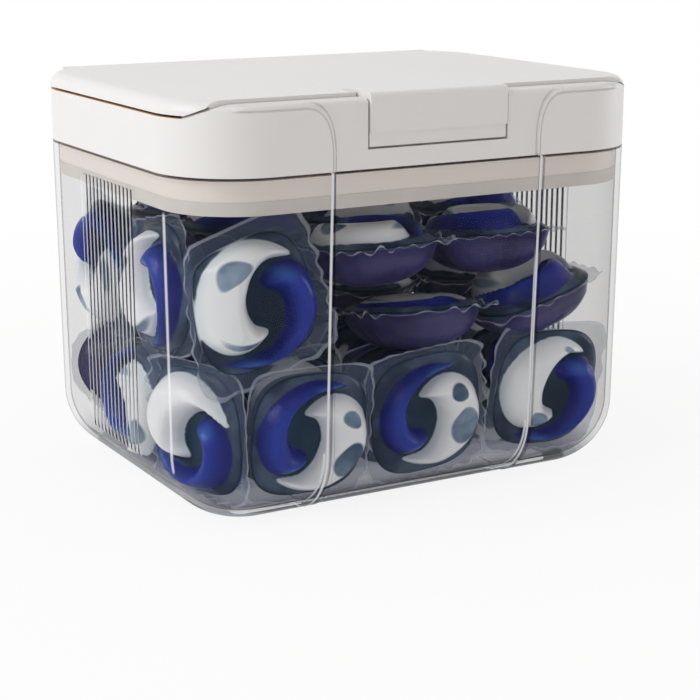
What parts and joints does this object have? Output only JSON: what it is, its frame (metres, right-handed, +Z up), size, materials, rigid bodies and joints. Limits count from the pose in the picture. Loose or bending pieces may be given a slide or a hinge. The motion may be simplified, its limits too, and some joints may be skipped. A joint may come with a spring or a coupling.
{
  "type": "laundry pod container",
  "caption": "Clear rounded tub of laundry pods with a white plug-in lid frame, a flip lid hinged at the back and a lift-up front latch.",
  "frame": {"origin": "centre of the tub's base, on the surface it rests on", "axes": "+Z up, front with the latch facing -Y, +X along the long side"},
  "size_m": [0.2, 0.16, 0.1591],
  "materials": {
    "clear_plastic": "clear gloss",
    "white_plastic": "satin",
    "silicone": "soft matte",
    "steel": "brushed",
    "pod_film": "wet gloss"
  },
  "bodies": {
    "tub": {"tub": "clear_plastic", "pod_01": "pod_film", "pod_02": "pod_film", "pod_03": "pod_film", "pod_04": "pod_film", "pod_05": "pod_film", "pod_06": "pod_film", "pod_07": "pod_film", "pod_08": "pod_film", "pod_09": "pod_film", "pod_10": "pod_film", "pod_11": "pod_film", "pod_12": "pod_film", "pod_13": "pod_film", "pod_14": "pod_film", "pod_15": "pod_film", "pod_16": "pod_film", "pod_17": "pod_film", "pod_18": "pod_film", "pod_19": "pod_film", "pod_20": "pod_film", "pod_21": "pod_film", "pod_22": "pod_film", "pod_23": "pod_film", "pod_24": "pod_film", "pod_25": "pod_film", "pod_26": "pod_film", "pod_27": "pod_film", "pod_28": "pod_film", "pod_29": "pod_film", "pod_30": "pod_film", "pod_31": "pod_film", "pod_32": "pod_film", "pod_33": "pod_film", "pod_34": "pod_film", "pod_35": "pod_film", "pod_36": "pod_film"},
    "lid_frame": {"lid_frame": "white_plastic", "frame_seal": "silicone"},
    "flip_lid": {"lid_shell": "white_plastic", "lid_liner": "white_plastic", "lid_seal": "silicone", "latch_pin": "steel", "hinge_pin_left": "steel", "hinge_pin_right": "steel"},
    "latch": {"latch": "white_plastic"}
  },
  "joints": [
    {"name": "frame_lift", "type": "slide", "parent": "tub", "child": "lid_frame", "axis": [0, 0, 1], "range_m": [0, 0.03]},
    {"name": "lid_hinge", "type": "hinge", "parent": "lid_frame", "child": "flip_lid", "pos_m": [0, 0.074, 0.1525], "axis": [-1, 0, 0], "range_deg": [0, 105]},
    {"name": "latch_pivot", "type": "hinge", "parent": "flip_lid", "child": "latch", "pos_m": [0, -0.0624, 0.157], "axis": [-1, 0, 0], "range_deg": [0, 90]}
  ]
}
